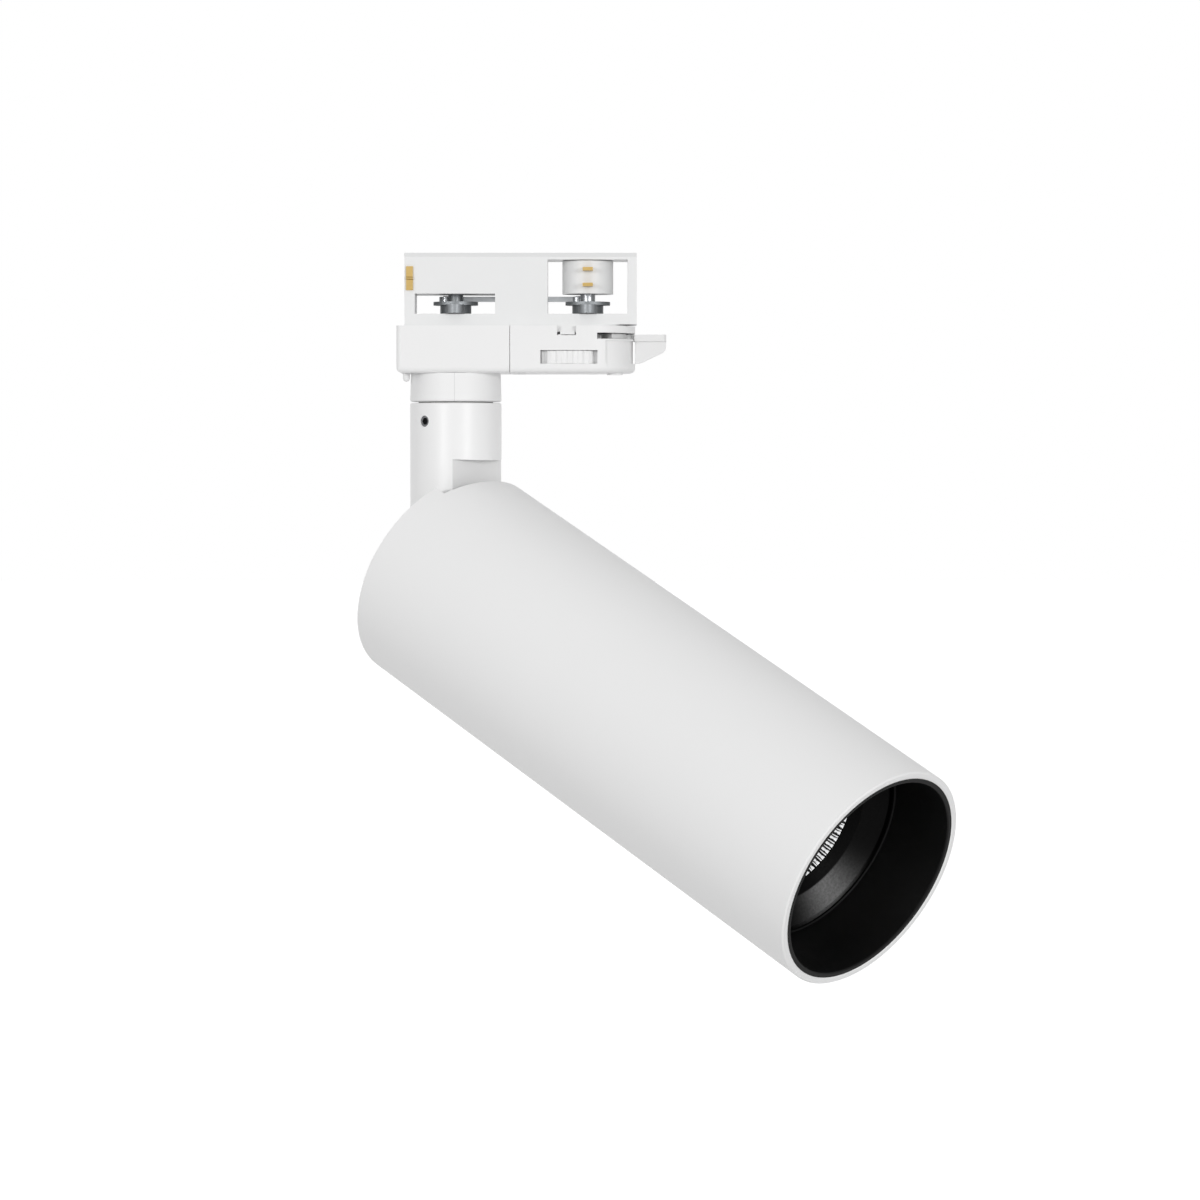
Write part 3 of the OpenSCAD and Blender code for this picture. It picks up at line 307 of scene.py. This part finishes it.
    def throat(
        self,
        tree: bpy.types.NodeTree,
        spot: bpy.types.NodeSocket,
        tone: bpy.types.NodeSocket,
        grain: bpy.types.NodeSocket,
    ) -> bpy.types.NodeSocket:
        """Paints a highlight on one side round the lamp's axis, and paints shade black behind one
        station.

        With w the angle from the painted highlight's middle, its share is max(0, cos w) to a high
        power, times a share that is full on the grain's crests and about half in its pits.

        Args:
            tree: the material's node tree.
            spot: the object coordinates.
            tone: the colour away from the painted highlight.
            grain: the height of the grain.

        Returns:
            The colour with the painted highlight and the throat's painted shade; the shade fades in
            over a narrow band.
        """
        lamp_spot = add_node(
            tree,
            "ShaderNodeMapping",
            {"vector_type": "TEXTURE"},
            {"Vector": spot, **Aim().seat()},
        ).outputs[0]
        station = add_node(tree, "ShaderNodeSeparateXYZ", sockets={0: lamp_spot}).outputs["X"]
        flat = add_node(
            tree,
            "ShaderNodeVectorMath",
            {"operation": "MULTIPLY"},
            {0: lamp_spot, 1: (0.0, 1.0, 1.0)},
        ).outputs[0]
        outward = add_node(tree, "ShaderNodeVectorMath", {"operation": "NORMALIZE"}, {0: flat})
        facing = add_node(
            tree,
            "ShaderNodeVectorMath",
            {"operation": "DOT_PRODUCT"},
            {0: outward.outputs[0], 1: PAINTED_HIGHLIGHT_SIDE},
        ).outputs["Value"]
        lower = add_node(tree, "ShaderNodeMath", {"operation": "MAXIMUM"}, {0: facing, 1: 0.0})
        # Painted highlight, gathered round the lower far side of the cone
        painted_highlight_lobe = add_node(
            tree,
            "ShaderNodeMath",
            {"operation": "POWER"},
            {0: lower.outputs[0], 1: PAINTED_HIGHLIGHT_POWER},
        ).outputs[0]
        crests = add_node(
            tree,
            "ShaderNodeMapRange",
            sockets={"Value": grain, **GRAIN_RANGE, "To Min": PIT_SHARE, "To Max": 1.0},
        ).outputs[0]
        share = add_node(tree, "ShaderNodeMath", {"operation": "MULTIPLY"}, {0: painted_highlight_lobe, 1: crests})
        with_painted_highlight = add_node(
            tree,
            "ShaderNodeMix",
            {"data_type": "RGBA"},
            {0: share.outputs[0], 6: tone, 7: linear(self.pale)},
        ).outputs[2]
        front = add_node(
            tree,
            "ShaderNodeMapRange",
            sockets={
                "Value": station,
                "From Min": (self.throat_mm - THROAT_FADE_MM) * MM,
                "From Max": (self.throat_mm + THROAT_FADE_MM) * MM,
            },
        ).outputs[0]
        # Painted shade: black behind the throat's station
        return add_node(
            tree,
            "ShaderNodeMix",
            {"data_type": "RGBA"},
            {0: front, 6: linear(THROAT_PAINTED_SHADE), 7: with_painted_highlight},
        ).outputs[2]


# Powder coat on aluminium: a matt white film with a very fine orange peel
POWDER_COAT = Finish(
    name="white_powder_coat",
    colour="#F4F4F4",
    shade="#F2F2F2",
    texture=Texture.SPRAYED,
    grain_mm=0.9,
    relief_mm=0.006,
    roughness=0.52,
    spread=0.05,
    patch_mm=40.0,
    specular=0.3,
    on_lamp=True,
)
# The same coat on the turned stem, cured to a satin
STEM_COAT = replace(
    POWDER_COAT,
    name="satin_powder_coat",
    relief_mm=0.004,
    roughness=0.36,
    spread=0.04,
    specular=0.5,
    on_lamp=False,
)
# The same coat on the cast collar, with the line its mould halves leave
COLLAR_COAT = replace(
    POWDER_COAT,
    name="seamed_powder_coat",
    roughness=0.5,
    seam_mm=0.16,
    on_lamp=False,
)
# Polycarbonate moulded in a spark-eroded tool: an even, slightly glossier white with a fine tooth
MOULDED_WHITE = Finish(
    name="moulded_polycarbonate",
    colour="#F2F2F2",
    shade="#F0F0F0",
    texture=Texture.SPARK_ERODED,
    grain_mm=0.5,
    relief_mm=0.004,
    roughness=0.45,
    spread=0.06,
    patch_mm=25.0,
    specular=0.35,
)
# The lever's polycarbonate, drawn a shade greyer than the housing's
LEVER_WHITE = replace(
    MOULDED_WHITE,
    name="moulded_lever",
    colour="#EAEAEA",
    shade="#E7E7E7",
)
# Polycarbonate of the hidden insert, a touch cooler
INSERT_WHITE = Finish(
    name="moulded_insert",
    colour="#EDEDED",
    shade="#E8E9E9",
    texture=Texture.SPARK_ERODED,
    grain_mm=0.6,
    relief_mm=0.006,
    roughness=0.48,
    spread=0.06,
    patch_mm=20.0,
    ior=1.58,
)
# Black matt lacquer inside the snoot: nearly no gloss, faint grit
SNOOT_BLACK = Finish(
    name="matt_black_lacquer",
    colour="#111111",
    shade="#0D0D0D",
    texture=Texture.SPARK_ERODED,
    grain_mm=0.5,
    relief_mm=0.01,
    roughness=0.45,
    spread=0.06,
    patch_mm=12.0,
    specular=0.1,
    on_lamp=True,
)
# Spark-eroded graphite plastic of the cone: dull, with a painted highlight low down and painted
# shade, black, in its throat.
# Its grain is drawn a little coarse, so that it shows.
CONE_GRAPHITE = Finish(
    name="grained_graphite_plastic",
    colour="#0A0A0A",
    shade="#080808",
    texture=Texture.SPARK_ERODED,
    grain_mm=0.7,
    relief_mm=0.06,
    roughness=0.5,
    spread=0.1,
    patch_mm=5.0,
    specular=0.06,
    throat_mm=150.1,
    pale="#969696",
    on_lamp=True,
)
# Aluminium film on plastic: a bright, slightly soft mirror
METALLISED = Finish(
    name="metallised_film",
    colour="#E9E9EA",
    shade="#E2E3E4",
    texture=Texture.PLATED,
    grain_mm=0.8,
    relief_mm=0.002,
    roughness=0.12,
    spread=0.04,
    patch_mm=6.0,
    metallic=1.0,
    on_lamp=True,
)
# Zinc-plated steel: grey with a faint mottled lustre
ZINC_STEEL = Finish(
    name="zinc_plated_steel",
    colour="#B4B6B8",
    shade="#A3A6A9",
    texture=Texture.PLATED,
    grain_mm=0.4,
    relief_mm=0.004,
    roughness=0.34,
    spread=0.08,
    patch_mm=4.0,
    metallic=1.0,
)
# Black-oxide steel of the grub screw, dark with an oily lustre
BLACK_OXIDE = replace(
    ZINC_STEEL,
    name="black_oxide_steel",
    colour="#78797B",
    shade="#6C6D6F",
    grain_mm=0.3,
    patch_mm=2.0,
)
# Die-cast zinc of the cams: dull grey with a coarse skin
CAST_ZINC = Finish(
    name="die_cast_zinc",
    colour="#8D9092",
    shade="#7E8184",
    texture=Texture.SPARK_ERODED,
    grain_mm=0.5,
    relief_mm=0.01,
    roughness=0.5,
    spread=0.08,
    patch_mm=5.0,
    metallic=1.0,
)
# Rolled brass of the contacts, brushed along its length
BRASS = Finish(
    name="rolled_brass",
    colour="#BDA36C",
    shade="#AF9358",
    texture=Texture.BRUSHED,
    grain_mm=0.15,
    relief_mm=0.004,
    roughness=0.38,
    spread=0.08,
    patch_mm=4.0,
    metallic=1.0,
)
# Sheet aluminium of the chassis and the board
SHEET_ALUMINIUM = Finish(
    name="mill_aluminium",
    colour="#C9CACB",
    shade="#BDBFC0",
    texture=Texture.BRUSHED,
    grain_mm=0.25,
    relief_mm=0.004,
    roughness=0.36,
    spread=0.08,
    patch_mm=15.0,
    metallic=1.0,
    on_lamp=True,
)
# Black anodised aluminium of the heat sink
ANODISED = Finish(
    name="black_anodised_aluminium",
    colour="#1C1C1D",
    shade="#161617",
    texture=Texture.BRUSHED,
    grain_mm=0.3,
    relief_mm=0.006,
    roughness=0.5,
    spread=0.08,
    patch_mm=15.0,
    on_lamp=True,
)
# Acetal washers: waxy pale grey
ACETAL = Finish(
    name="acetal",
    colour="#B9B9B7",
    shade="#AFAFAD",
    texture=Texture.TURNED,
    grain_mm=0.4,
    relief_mm=0.004,
    roughness=0.45,
    spread=0.05,
    patch_mm=6.0,
)
# Grey flame-proof plastic of the terminals and the driver's case
TERMINAL_GREY = Finish(
    name="grey_polyamide",
    colour="#8A8C8E",
    shade="#818385",
    texture=Texture.SPARK_ERODED,
    grain_mm=0.5,
    relief_mm=0.008,
    roughness=0.55,
    spread=0.06,
    patch_mm=10.0,
)
# Soft red insulation of the leads
LEAD_SHEATH = Finish(
    name="silicone_sheath",
    colour="#8E2A22",
    shade="#7F241D",
    texture=Texture.SPRAYED,
    grain_mm=0.6,
    relief_mm=0.004,
    roughness=0.42,
    spread=0.05,
    patch_mm=6.0,
)
# Glass-epoxy of the phase plate
EPOXY_BOARD = Finish(
    name="glass_epoxy",
    colour="#1F5A38",
    shade="#1A4E30",
    texture=Texture.BRUSHED,
    grain_mm=0.4,
    relief_mm=0.006,
    roughness=0.4,
    spread=0.05,
    patch_mm=6.0,
)
# Silicone with yellow phosphor over the diodes
PHOSPHOR = Finish(
    name="phosphor_silicone",
    colour="#E8C545",
    shade="#DDB736",
    texture=Texture.PLATED,
    grain_mm=0.7,
    relief_mm=0.02,
    roughness=0.35,
    spread=0.05,
    patch_mm=3.0,
    coat=0.3,
)


def dress(node: str, finish: Finish) -> None:
    """Gives a CAD node its finish.

    Args:
        node: the CAD node's name.
        finish: what the node is made of.
    """
    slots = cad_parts[node].data.materials
    slots.clear()
    slots.append(finish.material())
    LOG.info("%s: %s", node, finish.name)


def surface_piece(
    name: str, points: np.ndarray, finish: Finish, body: str
) -> bpy.types.Object:
    """Makes a piece from a grid of points that closes in both directions, like a ring's skin.

    Args:
        name: the piece's name.
        points: rows round the ring by columns round its section by three, in metres.
        finish: what the piece is made of.
        body: the CAD body that it rides on.

    Returns:
        The new object, which rides on the body.
    """
    rows, cols = points.shape[:2]
    here = np.arange(rows * cols).reshape(rows, cols)
    right, down = np.roll(here, -1, axis=1), np.roll(here, -1, axis=0)
    faces = np.stack([here, right, np.roll(right, -1, axis=0), down], axis=-1).reshape(-1, 4)
    mesh = bpy.data.meshes.new(name)
    mesh.from_pydata(points.reshape(-1, 3).tolist(), [], faces.tolist())
    mesh.polygons.foreach_set("use_smooth", np.ones(len(faces), dtype=bool))
    mesh.materials.append(finish.material())
    piece = bpy.data.objects.new(name, mesh)
    bpy.context.scene.collection.objects.link(piece)
    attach(piece, body)
    LOG.info("%s: %d faces of %s", name, len(faces), finish.name)
    return piece


@dataclass
class TrackAdapter:
    """The fixed adapter: covers, track insert, contacts, and the swivel's fixed half."""

    moulded: tuple[str, ...] = ("swivel_cover", "adapter_housing")
    insert: tuple[str, ...] = ("track_insert", "insert_lid")
    plated: tuple[str, ...] = ("cover_screws", "swivel_spigot", "spigot_nut", "spigot_washer")

    def build(self) -> None:
        """Dresses the adapter's nodes."""
        for node in self.moulded:
            dress(node, MOULDED_WHITE)
        for node in self.insert:
            dress(node, INSERT_WHITE)
        for node in self.plated:
            dress(node, ZINC_STEEL)
        dress("swivel_collar", COLLAR_COAT)
        dress("earth_contacts", BRASS)
        dress("terminal_block", TERMINAL_GREY)
        dress("adapter_leads", LEAD_SHEATH)
        dress("phase_plate", EPOXY_BOARD)


@dataclass
class LockGear:
    """What the lever moves: shaft, cams, link and contacts, and the phase selector beside it."""

    plated: tuple[str, ...] = ("lock_shaft", "lever_screw", "link_rod")
    cast: tuple[str, ...] = ("lever_cam", "rear_cam")
    brass: tuple[str, ...] = ("phase_contacts", "neutral_contact", "selector_wiper")

    def build(self) -> None:
        """Dresses the lock's and the selector's nodes."""
        dress("lock_lever", LEVER_WHITE)
        dress("selector_wheel", MOULDED_WHITE)
        dress("contact_rotor", INSERT_WHITE)
        for node in self.plated:
            dress(node, ZINC_STEEL)
        for node in self.cast:
            dress(node, CAST_ZINC)
        for node in self.brass:
            dress(node, BRASS)


@dataclass
class SwivelStem:
    """The stem that pans under the adapter, with its screws, washers and leads."""

    def build(self) -> None:
        """Dresses the stem's nodes."""
        dress("stem", STEM_COAT)
        dress("grub_screw", BLACK_OXIDE)
        dress("tilt_screws", ZINC_STEEL)
        dress("pan_washer", ACETAL)
        dress("tilt_washers", ACETAL)
        dress("stem_leads", LEAD_SHEATH)


@dataclass
class LampHead:
    """The tilting tube with its driver, heat sink and light engine."""

    aluminium: tuple[str, ...] = ("chassis", "led_board")
    plated: tuple[str, ...] = ("tilt_bracket", "bracket_screws", "holder_screws")
    sheathed: tuple[str, ...] = ("head_leads", "led_leads")

    def build(self) -> None:
        """Dresses the lamp's nodes."""
        dress("lamp_tube", POWDER_COAT)
        dress("rear_cap", POWDER_COAT)
        dress("driver_case", TERMINAL_GREY)
        dress("driver_terminals", INSERT_WHITE)
        dress("led_holder", INSERT_WHITE)
        dress("led_emitter", PHOSPHOR)
        dress("heat_sink", ANODISED)
        for node in self.aluminium:
            dress(node, SHEET_ALUMINIUM)
        for node in self.plated:
            dress(node, ZINC_STEEL)
        for node in self.sheathed:
            dress(node, LEAD_SHEATH)


@dataclass
class Optics:
    """Snoot, cone and the pillowed reflector bowl, with sizes in millimetres on the lamp's axis."""

    bowl_rear: float = 123.3
    bowl_length: float = 24.0
    small_r: float = 8.2
    large_r: float = 19.0
    flare: float = 1.25
    flare_from: float = 0.8
    wall: float = 1.2
    rim_r: float = 23.0
    rim_thick: float = 1.4
    columns: int = 60
    rows: float = 7.5
    pillow: float = 0.46
    pillow_ends: float = 0.2
    cell_steps: int = 8
    back_stride: int = 6
    aim: Aim = field(default_factory=Aim)

    def build(self) -> None:
        """Dresses the snoot and the cone, and builds the reflector."""
        dress("snoot", SNOOT_BLACK)
        dress("cone_ring", CONE_GRAPHITE)
        bowl = surface_piece("reflector_bowl", self.bowl(), METALLISED, "lamp")
        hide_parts("reflector")

    def profile(self, t: np.ndarray) -> np.ndarray:
        """Gives the bowl's radius, a parabola whose front part flares out to the rim.

        Args:
            t: place along the bowl, from 0 at the small end to 1 at the large one.

        Returns:
            The radius sqrt(a + b t) plus a flare that grows with the square of t past its start.
        """
        dish = np.sqrt(self.small_r**2 + (self.large_r**2 - self.small_r**2) * t)
        past = np.clip((t - self.flare_from) / (1 - self.flare_from), 0.0, 1.0)
        return dish + self.flare * past**2

    def bowl(self) -> np.ndarray:
        """Works out the reflector's skin as a section carried round the lamp's axis.

        Pillows stand in from the bowl's profile: each is a parabola across its column, 1 - u u,
        that keeps eight tenths of its height at its ends along the axis. The front edge cuts a row
        at its crest. The section then goes round the rim and back along the plain outer wall.

        Returns:
            Points in metres in the CAD frame, round the axis by round the section.
        """
        points_round = self.columns * self.cell_steps
        points_along = int(self.rows * self.cell_steps) + 1
        turn = np.linspace(0.0, 2 * np.pi, points_round, endpoint=False)[:, None]
        ring = np.ones_like(turn)
        t = np.linspace(0.0, 1.0, points_along)[None, :]
        dish = self.profile(t)
        across = 2 * (self.columns * turn / (2 * np.pi) % 1) - 1
        along = 2 * (self.rows * t % 1) - 1
        swell = (1 - across**2) * (1 - self.pillow_ends * along**2)
        inner_r = dish - self.pillow * swell * dish / self.large_r
        inner_s = (self.bowl_rear + self.bowl_length * t) * ring
        front = self.bowl_rear + self.bowl_length
        back = t[:, :: -self.back_stride]
        outer_dish = self.profile(back) + self.wall
        low = self.rim_thick / self.bowl_length
        keep = back[0] < 1 - low
        rim_r = np.array([[self.rim_r, self.rim_r]]) * ring
        rim_s = np.array([[front, front - self.rim_thick]]) * ring
        outer_r = outer_dish[:, keep] * ring
        outer_s = (self.bowl_rear + self.bowl_length * back[:, keep]) * ring
        r = np.concatenate([inner_r, rim_r, outer_r], axis=1)
        s = np.concatenate([inner_s, rim_s, outer_s], axis=1)
        skin = np.stack([s, r * np.cos(turn), r * np.sin(turn)], axis=-1) * MM
        return self.aim.place(skin)


@dataclass(frozen=True)
class Softbox:
    """A broad far lamp: its strength, and its spread, side and rise round the object in degrees."""

    name: str
    strength: float
    spread: float
    side: float
    rise: float

    def hang(self) -> None:
        """Hangs the lamp, aimed at the object from its side and height."""
        lamp = bpy.data.lights.new(self.name, "SUN")
        lamp.energy = self.strength
        lamp.angle = math.radians(self.spread)
        box = bpy.data.objects.new(self.name, lamp)
        box.rotation_euler = (math.radians(90 - self.rise), 0.0, math.radians(self.side))
        bpy.context.scene.collection.objects.link(box)


@dataclass
class Studio:
    """Pale floor, soft light and the photograph's camera. Lengths are in metres."""

    floor_z: float = -0.45
    floor_half: float = 15.0
    floor_colour: str = "#F0F0F0"
    floor_lift: float = 0.62
    eye: tuple[float, float, float] = (0.042604, -1.360947, -0.041888)
    pitch: float = math.radians(1.656)
    lens_mm: float = 138.0
    sensor_mm: float = 36.0
    far_clip: float = 100.0
    zenith: float = 0.59
    horizon: float = 0.47
    lamps: tuple[Softbox, ...] = (
        Softbox("left_softbox", 0.75, 12.0, -30.0, 7.0),
        Softbox("right_softbox", 0.78, 12.0, 30.0, 7.0),
    )

    def build(self) -> None:
        """Makes the floor, the world, the lamps and the camera."""
        self.lay_floor()
        self.light()
        self.aim_camera()

    def lay_floor(self) -> None:
        """Lays a flat square floor that looks white to the camera and keeps the shadow."""
        side = np.array([-self.floor_half, self.floor_half])
        x, y = np.meshgrid(side, side)
        corners = np.stack([x, y, np.full_like(x, self.floor_z)], axis=-1).reshape(-1, 3)
        mesh = bpy.data.meshes.new("studio_floor")
        mesh.from_pydata(corners.tolist(), [], [(0, 1, 3, 2)])
        paint = bpy.data.materials.new("pale_paper")
        paint.use_nodes = True
        tree = paint.node_tree
        tree.nodes.clear()
        matt = add_node(
            tree,
            "ShaderNodeBsdfDiffuse",
            sockets={"Color": linear(self.floor_colour)},
        ).outputs[0]
        lift = add_node(
            tree,
            "ShaderNodeMath",
            {"operation": "MULTIPLY"},
            {0: self.seen_directly(tree), 1: self.floor_lift},
        ).outputs[0]
        glow = add_node(tree, "ShaderNodeEmission", sockets={"Strength": lift}).outputs[0]
        both = add_node(tree, "ShaderNodeAddShader", sockets={0: matt, 1: glow}).outputs[0]
        add_node(tree, "ShaderNodeOutputMaterial", sockets={"Surface": both})
        mesh.materials.append(paint)
        floor = bpy.data.objects.new("studio_floor", mesh)
        bpy.context.scene.collection.objects.link(floor)

    def seen_directly(self, tree: bpy.types.NodeTree) -> bpy.types.NodeSocket:
        """Gives 1 on rays from the camera, and on mirrored or transmitted rays.

        Args:
            tree: the node tree that gets the light path.

        Returns:
            The socket with that number.
        """
        path = add_node(tree, "ShaderNodeLightPath")
        either = add_node(
            tree,
            "ShaderNodeMath",
            {"operation": "MAXIMUM"},
            {0: path.outputs["Is Camera Ray"], 1: path.outputs["Is Glossy Ray"]},
        ).outputs[0]
        return add_node(
            tree,
            "ShaderNodeMath",
            {"operation": "MAXIMUM"},
            {0: either, 1: path.outputs["Is Transmission Ray"]},
        ).outputs[0]

    def light(self) -> None:
        """Sets a pale world, a little brighter overhead, and the softboxes."""
        world = bpy.data.worlds.new("studio_world")
        world.use_nodes = True
        tree = world.node_tree
        tree.nodes.clear()
        towards = add_node(tree, "ShaderNodeTexCoord").outputs["Generated"]
        height = add_node(tree, "ShaderNodeSeparateXYZ", sockets={0: towards}).outputs["Z"]
        level = add_node(
            tree,
            "ShaderNodeMapRange",
            sockets={"Value": height, "To Min": self.horizon, "To Max": self.zenith},
        ).outputs[0]
        soft, white = (
            add_node(
                tree,
                "ShaderNodeBackground",
                sockets={"Color": WHITE, "Strength": strength},
            ).outputs[0]
            for strength in (level, 1.0)
        )
        mixed = add_node(
            tree,
            "ShaderNodeMixShader",
            sockets={0: self.seen_directly(tree), 1: soft, 2: white},
        ).outputs[0]
        add_node(tree, "ShaderNodeOutputWorld", sockets={"Surface": mixed})
        bpy.context.scene.world = world
        for box in self.lamps:
            box.hang()

    def aim_camera(self) -> None:
        """Sets the camera where the photograph was taken from, level but for a slight pitch."""
        lens = bpy.data.cameras.new("photo_camera")
        lens.lens = self.lens_mm
        lens.sensor_width = self.sensor_mm
        lens.clip_end = self.far_clip
        camera = bpy.data.objects.new("photo_camera", lens)
        camera.location = self.eye
        camera.rotation_euler = (math.pi / 2 - self.pitch, 0.0, 0.0)
        bpy.context.scene.collection.objects.link(camera)
        bpy.context.scene.camera = camera


def main() -> None:
    """Builds the pieces in order, then the studio."""
    logging.basicConfig(level=logging.INFO, format="%(name)s %(message)s")
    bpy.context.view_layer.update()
    for assembly in (TrackAdapter(), LockGear(), SwivelStem(), LampHead(), Optics()):
        assembly.build()
    Studio().build()
    bpy.context.scene.view_settings.view_transform = "Standard"


if __name__ == "__main__":
    main()
